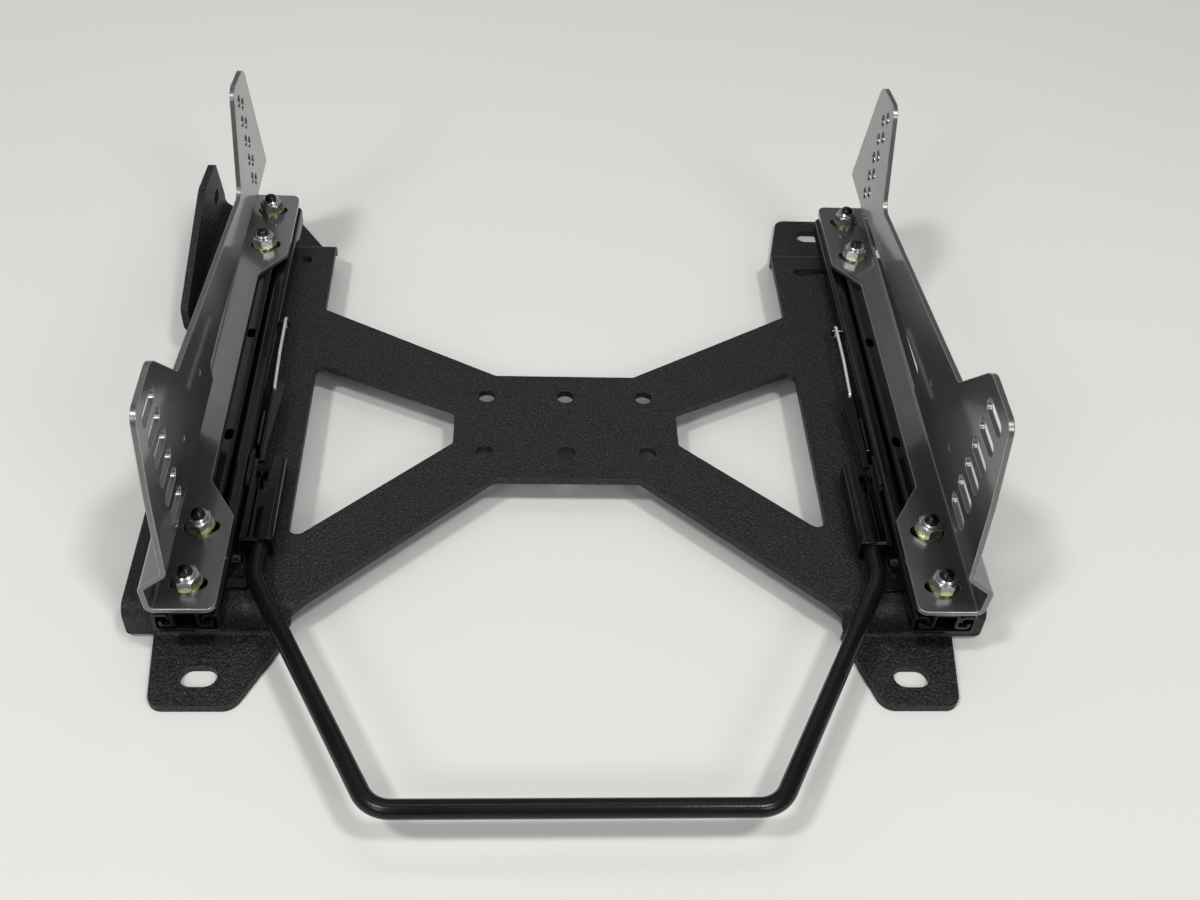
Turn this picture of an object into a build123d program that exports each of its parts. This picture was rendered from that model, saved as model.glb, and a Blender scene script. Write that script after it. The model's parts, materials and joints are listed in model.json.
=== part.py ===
from build123d import *

import math
import os

# Sliding seat mount. Millimetres. X to the right of the seat, Y to the rear, Z up.
# The origin is the centre of the six-hole pattern, on the top face of the floor plate.

# Floor plate
plate_t = 4.8
plate_bend_r = 2.5
foot_drop = 20.2
hole_pitch_x = 50.0
hole_pitch_y = 50.0
floor_hole_r = 5.5
block_half_x = 44.5
block_rear_y = 44.0
block_front_y = -47.0
block_front_x = 43.8
front_ridge_y = -147.0
rear_ridge_y = 178.0
rear_slope_run = 20.0
front_foot_end_y = -195.5
rear_foot_end_y = 248.0
left_edge_x = -243.5
right_edge_x = 234.5
left_inner_x = -160.4
right_inner_x = 152.0
front_inner_x = 153.3
rear_arm_y = 108.0
window_inner_x = 69.7
window_inner_rear_y = 12.0
window_inner_front_y = -17.6
window_rear_y = 54.0
left_window_front_y = -98.5
right_window_front_y = -90.0
window_corner_r = 5.0
foot_corner_r = 8.0
foot_inner_corner_r = 10.0
foot_root_step = 1.4
left_foot_root_x = 229.2
left_foot_tip_x = 223.5
left_foot_inner_x = 179.0
right_foot_root_x = 218.8
right_foot_tip_x = 212.4
right_foot_inner_x = 170.5
left_rear_foot_inner_x = -203.0
left_rear_foot_outer_x = -234.0
right_rear_foot_inner_x = 167.0
right_rear_foot_outer_x = 222.0
plate_corner_r = 4.0
riser_corner_drop = 22.0
riser_corner_r = 2.5
riser_inner_step = 4.0
riser_inner_drop = 12.12

# Feet, each with one slot across the car
foot_slot_length = 20.0
foot_slot_r = 6.75
foot_slot_edge = 19.2
left_front_slot_x = -199.7
right_front_slot_x = 189.1
left_rear_slot_x = -212.0
right_rear_slot_x = 190.0

# Extra slot and hole in the side plates
plate_slot_x = 179.0
plate_slot_y = 158.5
plate_slot_length = 26.0
plate_slot_r = 4.3
plate_hole_x = -179.6
plate_hole_y = 162.0
plate_hole_r = 4.2

# Sill ear at the rear left
ear_x = -250.2
ear_front_y = 86.0
ear_rear_y = 231.0
ear_front_h = 16.0
ear_peak_y = 181.0
ear_peak_h = 44.0
ear_top_y = 219.0
ear_top_h = 39.5
ear_slot_y = 205.5
ear_slot_h = 20.6
ear_slot_length = 14.0
ear_slot_r = 4.3
tongue_inner_x = -238.5
ear_tip_r = 5.0
ear_peak_r = 14.0

# Slider rails
rail_x = 204.0
rail_half_w = 18.0
rail_h = 14.4
rail_t = 2.0
rail_bend_r = 1.2
rail_gap_half = 8.0
rail_lip_bottom = 9.5
rail_front_y = -161.5
rail_rear_y = 204.0
lug_w = 8.0
lug_out = 8.5
lug_y = -129.0

# Upper rail
hat_top = 17.8
hat_half_w = 7.5
hat_t = 1.8
hat_bend_r = 0.8
hook_out = 5.1
hook_face = 6.9
hook_tip = 9.6
hat_overhang = 1.0
access_hole_w = 5.0
access_hole_l = 9.0
access_hole_shift = 3.4
access_hole_ys = (62.0, -30.0)
lock_pitch = 10.0
lock_first_y = -148.0
lock_count = 34
lock_notch_w = 5.0
lock_notch_top = 7.4

# Bearings between the rails
ball_r = 1.2
ball_count = 5
ball_pitch = 40.0
bearing_mid_y = 50.0
ball_out = 13.4
ball_gap = 0.15
roller_len = 4.2
roller_mid = 10.4
roller_gap = 0.15
cage_t = 0.6
cage_length = 180.0
cage_wall_clear = 0.3
cage_pocket_clear = 0.15
cage_edge = 0.8

# Rail bolts
rail_bolt_r = 4.0
rail_bolt_ys = (-128.0, 150.0)
rail_bolt_head_r = 5.5
rail_bolt_head_h = 2.9
rail_bolt_socket_r = 2.9
rail_bolt_socket_depth = 1.6
rail_bolt_end = 13.2
rail_nut_h = 6.8
bolt_clear = 0.2

# Side mount, one folded sheet
mount_t = 3.0
mount_bend_r = 2.5
mount_front_y = -163.0
mount_rear_y = 209.0
riser_foot_x = 223.2
riser_top_x = 224.2
riser_top_z = 37.6
wall_x = 210.2
wall_foot_z = 49.2
wall_lean = 0.02
flange_inner_x = 187.2
waist_x = 204.0
waist_front_y = -70.0
waist_rear_y = 119.0
waist_front_run = 27.0
waist_rear_run = 22.5
flange_corner_r = 5.5
opening_front_y = -17.0
opening_rear_y = 160.0
opening_front_z = 63.0
opening_rear_z = 52.0
opening_flange_x = 220.5
opening_corner_r = 7.0
mount_edge_z = 52.0
front_ear_knee_y = -155.5
front_ear_knee_z = 97.0
front_ear_tip_y = -143.5
front_ear_back_y = -104.5
front_ear_top_z = 143.0
front_ear_root_y = -72.0
front_ear_root_z = 105.5
rear_ear_root_y = 124.0
rear_ear_root_z = 79.0
rear_ear_tip_y = 152.6
rear_ear_tip_z = 138.5
rear_ear_back_y = 188.0
rear_ear_back_z = 134.0
seat_slot_y = -124.5
seat_slot_top_z = 130.0
seat_slot_pitch = 14.0
seat_slot_count = 6
seat_slot_length = 25.5
seat_slot_r = 4.25
pair_y = 160.6
pair_top_z = 125.4
pair_pitch = 14.3
pair_count = 5
pair_step_y = 8.5
pair_step_z = -6.7
pair_hole_r = 4.0
pilot_hole_r = 2.0
pilot_holes = ((-89.0, 73.0), (-38.0, 74.0))

# Fasteners of the side mount
stud_r = 3.95
stud_top = 31.8
stud_head_h = 1.8
stud_tip_h = 0.8
stud_tip_r = 3.05
stud_spare = 0.3
stud_ys = (-145.3, -105.2, 151.0, 190.5)
stud_slot_length = 20.0
stud_slot_r = 4.5
washer_r = 8.0
washer_t = 1.6
nut_flat = 13.0
nut_hex_h = 6.0
nut_h = 8.2
nut_collar_r = 5.7
nut_turn = 17.0
collar_wall = 1.1
collar_lip = 0.4
insert_h = 1.5

# Latch: bracket on the lower rail, lever, pawl, spring
bracket_front_y = -68.0
bracket_rear_y = -36.0
bracket_low = 2.6
bracket_top = 15.4
bracket_t = 2.2
weld_r = 1.6
lever_gap = 0.5
lever_sheet = 2.0
lever_bend_r = 1.0
lever_low = 2.6
lever_top = 15.0
tray_front_y = -110.5
tray_rear_y = -47.0
tray_w = 18.1
tray_flange = 7.0
tray_top = 16.8
arm_rear_y = 21.0
arm_wide = 9.4
arm_tip_r = 4.2
arm_narrow = 5.0
arm_narrow_y = -36.0
arm_top = 13.4
arm_tip_low = 9.4
arm_root_low = 6.0
stop_rivet_y = -118.0
stop_rivet_z = 8.0
stop_rivet_r = 2.0
stop_rivet_head_r = 3.1
stop_rivet_head_t = 5.0
stop_rivet_round_r = 1.6
pivot_y = -52.0
pivot_z = 10.0
pivot_r = 2.5
pivot_head_r = 4.4
pivot_head_t = 1.8
pivot_clear = 0.05
head_gap = 0.3
spring_stud_y = 81.0
spring_stud_z = 10.5
spring_stud_r = 1.8
spring_stud_out = 5.4
spring_stud_head_r = 2.9
spring_stud_head_t = 1.4
wire_r = 1.0
hook_hole_y = 15.0
hook_hole_r = 1.5
hook_below = 3.2
hook_turn_r = 1.4
spring_sweep_r = 90.0
wire_gap = 0.3
pawl_front_y = -33.0
pawl_rear_y = -3.0
pawl_low = 4.6
pawl_t = 1.3
tooth_first_y = -28.0
tooth_low = 5.2
tooth_high = 6.6
tooth_w = 3.6
tooth_count = 3
tooth_gap = 0.3
slot_clear_y = 0.8
slot_top = 7.8
pawl_rivet_r = 1.2
pawl_rivet_head = 0.6
pawl_rivet_ys = (-27.0, -9.0)
pawl_rivet_z = 8.6

# Release bar
bar_r = 5.0
bar_wall = 1.5
bar_z = 9.8
bar_end_y = -84.0
bar_bend_y = -133.0
bar_front_y = -273.4
bar_corner_x = 99.0
bar_bend_r = 26.0
bar_corner_r = 17.0
bar_clear = 0.25

# How far cutters reach past what they cut
past = 1.0
cut_low = -40.0
cut_high = 5.0

# Places that follow from the sizes above
flat_front = front_ridge_y + plate_t + plate_bend_r
hat_front_y = rail_front_y - hat_overhang
hat_rear_y = rail_rear_y + hat_overhang
arm_run = (front_inner_x - block_front_x) / (block_front_y - front_ridge_y)
arm_front_x = block_front_x + arm_run * (block_front_y - flat_front)
rail_face_x = rail_x - rail_half_w
bracket_x = rail_face_x - bracket_t
lever_out_x = bracket_x - lever_gap
lever_in_x = lever_out_x - lever_sheet
tray_in_x = lever_out_x - tray_w
bar_x = tray_in_x + lever_sheet + bar_clear + bar_r
hook_outer = hat_half_w + hook_out + hat_t
hook_low = hook_face - hat_t
roller_r = (hook_low - rail_t) / 2 - roller_gap
roller_z = rail_t + roller_gap + roller_r
ball_z = rail_h - rail_t - ball_gap - ball_r
mount_reach_x = riser_top_x + 10.0
flange_top = hat_top + mount_t
hook_x = lever_out_x - arm_wide / 3


def rounded_face(corners):
    """Flat face from (u, v, corner radius) triples, facing up whichever way round they run."""
    turns = zip(corners, corners[1:] + corners[:1])
    if sum(a[0] * b[1] - b[0] * a[1] for a, b in turns) < 0:
        corners = corners[::-1]
    points = [(u, v) for u, v, _ in corners]
    radii = [r for _, _, r in corners]
    return Face(Wire(FilletPolyline(*points, radius=radii, close=True).edges()))


def seen_from_top(face, low, high):
    """Prism of a face drawn in X and Y."""
    return extrude(Pos(0, 0, low) * face, high - low)


def seen_from_side(face, x_low, x_high):
    """Prism of a face drawn in Y and Z."""
    return extrude(Plane.YZ.offset(x_low) * face, x_high - x_low)


def seen_from_front(face, y_low, y_high):
    """Prism of a face drawn in X and Z."""
    return extrude(Plane.XZ.offset(-y_high) * face, y_high - y_low)


def slot_face(u, v, length, radius):
    """Round-ended slot along u."""
    return Pos(u, v) * SlotOverall(length, 2 * radius)


def box_between(x0, x1, y0, y1, z0, z1):
    """Plain block between two corners."""
    return Pos((x0 + x1) / 2, (y0 + y1) / 2, (z0 + z1) / 2) * Box(x1 - x0, y1 - y0, z1 - z0)


def disc(radius, height, x, y, z):
    """Upright cylinder that starts at z."""
    return Pos(x, y, z + height / 2) * Cylinder(radius, height)


def pin_along_x(radius, x0, x1, y, z):
    """Cylinder along X between two places."""
    return Pos((x0 + x1) / 2, y, z) * Rot(0, 90, 0) * Cylinder(radius, x1 - x0)


def sheet_section(path, thickness, inner_r, left=True):
    """Section of a bent sheet, from the corners of one face and the side its thickness lies on."""
    sign = 1.0 if left else -1.0
    steps = []
    for (u0, v0), (u1, v1) in zip(path, path[1:]):
        length = math.hypot(u1 - u0, v1 - v0)
        steps.append(((u1 - u0) / length, (v1 - v0) / length))
    near = [(path[0][0], path[0][1], 0.0)]
    far = [(path[0][0] - sign * thickness * steps[0][1], path[0][1] + sign * thickness * steps[0][0], 0.0)]
    for point, before, after in zip(path[1:-1], steps, steps[1:]):
        normal_u = -sign * (before[1] + after[1])
        normal_v = sign * (before[0] + after[0])
        share = thickness / (1.0 + before[0] * after[0] + before[1] * after[1])
        turn = sign * (before[0] * after[1] - before[1] * after[0])
        near_r = inner_r + thickness if turn > 0 else inner_r
        far_r = inner_r if turn > 0 else inner_r + thickness
        near.append((point[0], point[1], near_r))
        far.append((point[0] + share * normal_u, point[1] + share * normal_v, far_r))
    near.append((path[-1][0], path[-1][1], 0.0))
    last = steps[-1]
    far.append((path[-1][0] - sign * thickness * last[1], path[-1][1] + sign * thickness * last[0], 0.0))
    return rounded_face(near + far[::-1])


def other_side(solid):
    """The same piece on the left of the seat."""
    return mirror(solid, about=Plane.YZ)


# Floor plate

def side_plate(outer_x, inner_x, foot_plan_front, foot_plan_rear, riser_front):
    """One side of the floor plate with its bent-down feet."""
    low = min(outer_x, inner_x)
    high = max(outer_x, inner_x)
    path = [
        (front_foot_end_y, -foot_drop),
        (front_ridge_y, -foot_drop),
        (front_ridge_y, 0.0),
        (rear_ridge_y, 0.0),
        (rear_ridge_y + rear_slope_run, -foot_drop),
        (rear_foot_end_y, -foot_drop),
    ]
    strip = seen_from_side(sheet_section(path, plate_t, plate_bend_r, left=False), low, high)
    bottom = -foot_drop - plate_t - past
    plan = seen_from_top(foot_plan_front, bottom, past) + seen_from_top(foot_plan_rear, bottom, past)
    plan += box_between(low, high, front_ridge_y, rear_ridge_y, bottom, past)
    riser_depth = plate_t + 2 * plate_bend_r
    strip &= plan
    keep = seen_from_front(riser_front, front_ridge_y - 0.01, front_ridge_y + riser_depth)
    keep += box_between(low, high, front_ridge_y + riser_depth, rear_foot_end_y, bottom, past)
    keep += box_between(low, high, front_foot_end_y, front_ridge_y, bottom, past)
    return strip & keep


def front_foot_plan(side, outer_root, outer_tip, inner_tip):
    """Outline of a front foot, with its inboard corner cut away."""
    return rounded_face([
        (side * outer_root, front_ridge_y + plate_t, 0.0),
        (side * outer_tip, front_foot_end_y, foot_corner_r),
        (side * inner_tip, front_foot_end_y, foot_inner_corner_r),
        (side * (front_inner_x + foot_root_step), front_ridge_y, 0.0),
        (side * (front_inner_x + foot_root_step), front_ridge_y + plate_t, 0.0),
    ])


def riser_outline(outer_x, side, foot_outer):
    """Front view of the riser, deeper where the foot leaves it."""
    deep = -foot_drop - plate_t
    return rounded_face([
        (outer_x, 0.5, 0.0),
        (outer_x, -riser_corner_drop, riser_corner_r),
        (side * foot_outer, -riser_corner_drop, 0.0),
        (side * foot_outer, deep, 0.0),
        (side * (front_inner_x + riser_inner_step), deep, 0.0),
        (side * front_inner_x, -riser_inner_drop, 0.0),
        (side * front_inner_x, -plate_t - plate_bend_r, 0.0),
        (side * arm_front_x, -plate_t, 0.0),
        (side * arm_front_x, 0.5, 0.0),
    ])


def floor_plate():
    """Laser-cut and bent sheet that bolts to the car floor."""
    left_front = front_foot_plan(-1, left_foot_root_x, left_foot_tip_x, left_foot_inner_x)
    right_front = front_foot_plan(1, right_foot_root_x, right_foot_tip_x, right_foot_inner_x)
    left_rear = rounded_face([
        (left_inner_x, rear_ridge_y - past, 0.0),
        (left_inner_x, rear_ridge_y + plate_t, 0.0),
        (left_rear_foot_inner_x, rear_foot_end_y, foot_corner_r),
        (left_rear_foot_outer_x, rear_foot_end_y, foot_corner_r),
        (tongue_inner_x + 1.5, rear_ridge_y - past, 0.0),
    ])
    right_rear = rounded_face([
        (right_inner_x, rear_ridge_y - past, 0.0),
        (right_rear_foot_inner_x, rear_foot_end_y, foot_corner_r),
        (right_rear_foot_outer_x, rear_foot_end_y, foot_corner_r),
        (right_edge_x - 4.0, rear_ridge_y - past, 0.0),
    ])
    left = side_plate(left_edge_x, -arm_front_x, left_front, left_rear,
                      riser_outline(left_edge_x, -1, left_foot_root_x))
    right = side_plate(right_edge_x, arm_front_x, right_front, right_rear,
                       riser_outline(right_edge_x, 1, right_foot_root_x))
    flat_rear = rear_ridge_y - plate_t - plate_bend_r
    middle = rounded_face([
        (-block_half_x, block_rear_y, plate_corner_r),
        (left_inner_x, rear_arm_y, plate_corner_r),
        (left_inner_x, flat_rear, 0.0),
        (left_edge_x, flat_rear, 0.0),
        (left_edge_x, flat_front, 0.0),
        (-arm_front_x, flat_front, 0.0),
        (-block_front_x, block_front_y, plate_corner_r),
        (block_front_x, block_front_y, plate_corner_r),
        (arm_front_x, flat_front, 0.0),
        (right_edge_x, flat_front, 0.0),
        (right_edge_x, flat_rear, 0.0),
        (right_inner_x, flat_rear, 0.0),
        (right_inner_x, rear_arm_y, plate_corner_r),
        (block_half_x, block_rear_y, plate_corner_r),
    ])
    # Each arm's front edge runs on to the ridge, so a wedge is cut from both side plates
    wedges = [
        rounded_face([
            (side * arm_front_x, flat_front, 0.0),
            (0.0, flat_front, 0.0),
            (0.0, front_foot_end_y, 0.0),
            (side * front_inner_x, front_foot_end_y, 0.0),
            (side * front_inner_x, front_ridge_y, 0.0),
        ])
        for side in (-1, 1)
    ]
    plate = seen_from_top(middle, -plate_t, 0.0)
    rear_gap = rounded_face([
        (left_inner_x, rear_arm_y, 0.0),
        (-block_half_x, block_rear_y, 0.0),
        (block_half_x, block_rear_y, 0.0),
        (right_inner_x, rear_arm_y, 0.0),
        (right_inner_x, rear_foot_end_y, 0.0),
        (left_inner_x, rear_foot_end_y, 0.0),
    ])
    sides = left + right - seen_from_top(rear_gap, cut_low, cut_high)
    for wedge in wedges:
        sides -= seen_from_top(wedge, cut_low, cut_high)
    plate += sides
    left_window = rounded_face([
        (left_inner_x, window_rear_y, window_corner_r),
        (left_inner_x, left_window_front_y, window_corner_r),
        (-window_inner_x, window_inner_front_y, plate_corner_r),
        (-window_inner_x, window_inner_rear_y, plate_corner_r),
    ])
    right_window = rounded_face([
        (right_inner_x, window_rear_y, window_corner_r),
        (right_inner_x, right_window_front_y, window_corner_r),
        (window_inner_x, window_inner_front_y, plate_corner_r),
        (window_inner_x, window_inner_rear_y, plate_corner_r),
    ])
    for window in (left_window, right_window):
        plate -= seen_from_top(window, cut_low, cut_high)
    plate += sill_ear()
    for column in (-1, 0, 1):
        for row in (-0.5, 0.5):
            plate -= disc(floor_hole_r, 3 * plate_t, column * hole_pitch_x, row * hole_pitch_y, -2 * plate_t)
    front_slot_y = front_foot_end_y + foot_slot_edge
    rear_slot_y = rear_foot_end_y - foot_slot_edge
    slots = (
        (left_front_slot_x, front_slot_y),
        (right_front_slot_x, front_slot_y),
        (left_rear_slot_x, rear_slot_y),
        (right_rear_slot_x, rear_slot_y),
    )
    for x, y in slots:
        plate -= seen_from_top(slot_face(x, y, foot_slot_length, foot_slot_r), cut_low, cut_high)
    side_slot = slot_face(plate_slot_x, plate_slot_y, plate_slot_length, plate_slot_r)
    plate -= seen_from_top(side_slot, cut_low, cut_high)
    plate -= disc(plate_hole_r, 3 * plate_t, plate_hole_x, plate_hole_y, -2 * plate_t)
    for side in (-1, 1):
        for y in rail_bolt_ys:
            plate -= disc(rail_bolt_r + bolt_clear, 3 * plate_t, side * rail_x, y, -2 * plate_t)
    return plate


def sill_ear():
    """Tongue at the rear left of the plate, bent up into the ear."""
    path = [(left_edge_x + 20.0, 0.0), (ear_x + plate_t, 0.0), (ear_x + plate_t, ear_peak_h + 5.0)]
    sheet = seen_from_front(sheet_section(path, plate_t, plate_bend_r, left=True), ear_front_y, ear_rear_y)
    outline = rounded_face([
        (ear_front_y, -plate_t - past, 0.0),
        (ear_front_y, ear_front_h, ear_tip_r),
        (ear_peak_y, ear_peak_h, ear_peak_r),
        (ear_top_y, ear_top_h, ear_tip_r),
        (ear_rear_y, 3.0, 3.0),
        (ear_rear_y, -plate_t - past, 0.0),
    ])
    sheet &= seen_from_side(outline, ear_x - past, left_edge_x + 30.0)
    tongue = rounded_face([
        (left_edge_x + 6.0, ear_front_y, 0.0),
        (ear_x - past, ear_front_y, 0.0),
        (ear_x - past, ear_rear_y + past, 0.0),
        (ear_x + 2.0, ear_rear_y + past, 0.0),
        (tongue_inner_x, ear_rear_y - 8.0, 3.0),
        (tongue_inner_x, rear_ridge_y - 12.0, 0.0),
        (left_edge_x + 6.0, rear_ridge_y - 12.0, 0.0),
    ])
    sheet &= seen_from_top(tongue, -2 * plate_t, ear_peak_h + 10.0)
    slot = slot_face(ear_slot_y, ear_slot_h, ear_slot_length, ear_slot_r)
    return sheet - seen_from_side(slot, ear_x - 5.0, ear_x + 10.0)


# Rails, modelled for the right side and mirrored

def lower_rail():
    """Rolled C section with curled lips, tooth windows and a lanced lug."""
    left_x = rail_x - rail_half_w
    right_x = rail_x + rail_half_w
    path = [
        (rail_x - rail_gap_half, rail_lip_bottom),
        (rail_x - rail_gap_half, rail_h),
        (left_x, rail_h),
        (left_x, 0.0),
        (right_x, 0.0),
        (right_x, rail_h),
        (rail_x + rail_gap_half, rail_h),
        (rail_x + rail_gap_half, rail_lip_bottom),
    ]
    rail = seen_from_front(sheet_section(path, rail_t, rail_bend_r, left=True), rail_front_y, rail_rear_y)
    for y in rail_bolt_ys:
        rail -= disc(rail_bolt_r + bolt_clear, 3 * rail_t, rail_x, y, -rail_t)
    slot_half = tooth_w / 2 + slot_clear_y
    for y in tooth_ys():
        rail -= box_between(left_x - past, left_x + rail_t + rail_bend_r, y - slot_half, y + slot_half,
                            rail_t, slot_top)
    rail -= pin_along_x(pivot_r, left_x - past, left_x + rail_t + past, pivot_y, pivot_z)
    rail -= pin_along_x(stop_rivet_r, left_x - past, left_x + rail_t + past, stop_rivet_y, stop_rivet_z)
    rail -= pin_along_x(spring_stud_r, left_x - past, left_x + rail_t + past, spring_stud_y, spring_stud_z)
    lug = box_between(left_x - lug_out, left_x + rail_t, lug_y - lug_w / 2, lug_y + lug_w / 2, 0.0, rail_t)
    return rail + lug


def tooth_ys():
    """Places of the pawl's teeth, which face notches of the upper rail."""
    return [tooth_first_y + lock_pitch * i for i in range(tooth_count)]


def upper_rail():
    """Hat section whose hooks run inside the lower rail."""
    foot = hat_half_w + hook_out
    left_x = rail_x - hook_outer
    path = [
        (rail_x - foot, hook_tip),
        (rail_x - foot, hook_face),
        (rail_x - hat_half_w, hook_face),
        (rail_x - hat_half_w, hat_top),
        (rail_x + hat_half_w, hat_top),
        (rail_x + hat_half_w, hook_face),
        (rail_x + foot, hook_face),
        (rail_x + foot, hook_tip),
    ]
    rail = seen_from_front(sheet_section(path, hat_t, hat_bend_r, left=False), hat_front_y, hat_rear_y)
    for y in stud_ys:
        rail -= disc(stud_r + pivot_clear, 3 * hat_t, rail_x, y, hat_top - 2 * hat_t)
    for y in access_hole_ys:
        hole = Pos(rail_x - access_hole_shift, y) * Rot(0, 0, 90) * SlotOverall(access_hole_l, access_hole_w)
        rail -= seen_from_top(hole, hat_top - 2 * hat_t, hat_top + past)
    notches = Compound([
        box_between(left_x - past, left_x + hat_t + 0.1, y - lock_notch_w / 2, y + lock_notch_w / 2,
                    hook_low - past, lock_notch_top)
        for y in (lock_first_y + lock_pitch * i for i in range(lock_count))
    ])
    return rail - notches


def bearing_ys():
    """Places of the balls and rollers along the cage."""
    first = bearing_mid_y - ball_pitch * (ball_count - 1) / 2
    return [first + ball_pitch * i for i in range(ball_count)]


def ball_cages():
    """Two angle strips that space the balls under the lips."""
    wall = rail_half_w - rail_t - cage_wall_clear
    inner = ball_out - ball_r - cage_edge
    low = hook_tip - ball_r
    cages = []
    for side in (-1, 1):
        outline = rounded_face([
            (rail_x + side * wall, low, 0.0),
            (rail_x + side * wall, ball_z + cage_t / 2, 0.0),
            (rail_x + side * inner, ball_z + cage_t / 2, 0.0),
            (rail_x + side * inner, ball_z - cage_t / 2, 0.0),
            (rail_x + side * (wall - cage_t), ball_z - cage_t / 2, 0.0),
            (rail_x + side * (wall - cage_t), low, 0.0),
        ])
        cage = seen_from_front(outline, bearing_mid_y - cage_length / 2, bearing_mid_y + cage_length / 2)
        pocket_r = ball_r + cage_pocket_clear
        for y in bearing_ys():
            cage -= disc(pocket_r, 3 * cage_t, rail_x + side * ball_out, y, ball_z - 1.5 * cage_t)
        cages.append(cage)
    return Compound(cages)


def roller_cages():
    """Two flat strips that space the rollers on the rail's floor."""
    half = roller_len / 2 + cage_pocket_clear
    pocket = roller_r + cage_pocket_clear
    cages = []
    for side in (-1, 1):
        mid = rail_x + side * roller_mid
        cage = box_between(mid - half - cage_edge, mid + half + cage_edge, bearing_mid_y - cage_length / 2,
                           bearing_mid_y + cage_length / 2, roller_z - cage_t / 2, roller_z + cage_t / 2)
        for y in bearing_ys():
            cage -= box_between(mid - half, mid + half, y - pocket, y + pocket,
                                roller_z - cage_t, roller_z + cage_t)
        cages.append(cage)
    return Compound(cages)


def bearing_balls():
    """Balls between the hook tips and the rail lips."""
    return Compound([
        Pos(rail_x + side * ball_out, y, ball_z) * Sphere(ball_r)
        for side in (-1, 1) for y in bearing_ys()
    ])


def bearing_rollers():
    """Rollers between the rail floor and the hooks."""
    rollers = []
    for side in (-1, 1):
        for y in bearing_ys():
            x = rail_x + side * roller_mid
            rollers.append(pin_along_x(roller_r, x - roller_len / 2, x + roller_len / 2, y, roller_z))
    return Compound(rollers)


def rail_bolts():
    """Low-head bolts that hold the lower rails on the plate."""
    bolts = []
    for side in (-1, 1):
        for y in rail_bolt_ys:
            head = disc(rail_bolt_head_r, rail_bolt_head_h, side * rail_x, y, rail_t)
            socket = extrude(RegularPolygon(rail_bolt_socket_r, 6), -rail_bolt_socket_depth)
            head -= Pos(side * rail_x, y, rail_t + rail_bolt_head_h) * socket
            length = rail_t + rail_bolt_end
            bolts.append(head + disc(rail_bolt_r, length, side * rail_x, y, -rail_bolt_end))
    return Compound(bolts)


def hex_nut(flat, height, bore_r, collar_r, hex_height):
    """Hexagon with rounded corners on top, a collar and a through bore, standing on z = 0."""
    hexagon = extrude(RegularPolygon(flat / 2, 6, major_radius=False), hex_height)
    crown_r = flat / math.sqrt(3)
    crown = Face(Wire(Polyline(
        (0, 0), (crown_r - 0.5, 0), (crown_r + 0.3, 0.5), (crown_r + 0.3, hex_height - 0.9),
        (flat / 2 - 0.3, hex_height), (0, hex_height), close=True).edges()))
    nut = hexagon & revolve(Plane.XZ * crown, Axis.Z)
    if height > hex_height:
        collar = Face(Wire(Polyline(
            (0, hex_height - 0.5), (collar_r, hex_height - 0.5), (collar_r, height - 0.8),
            (collar_r - 0.8, height), (0, height), close=True).edges()))
        nut += revolve(Plane.XZ * collar, Axis.Z)
    return nut - Pos(0, 0, height / 2) * Cylinder(bore_r, height + 2.0)


def rail_nuts():
    """Flanged nuts under the plate."""
    nut = hex_nut(nut_flat, rail_nut_h, rail_bolt_r + pivot_clear, 0.0, rail_nut_h)
    nut += disc(washer_r, washer_t, 0, 0, 0) - disc(rail_bolt_r + pivot_clear, 2 * washer_t, 0, 0, -0.1)
    nut = mirror(nut, about=Plane.XY)
    return Compound([
        Pos(side * rail_x, y, -plate_t) * nut
        for side in (-1, 1) for y in rail_bolt_ys
    ])


# Side mount

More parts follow.
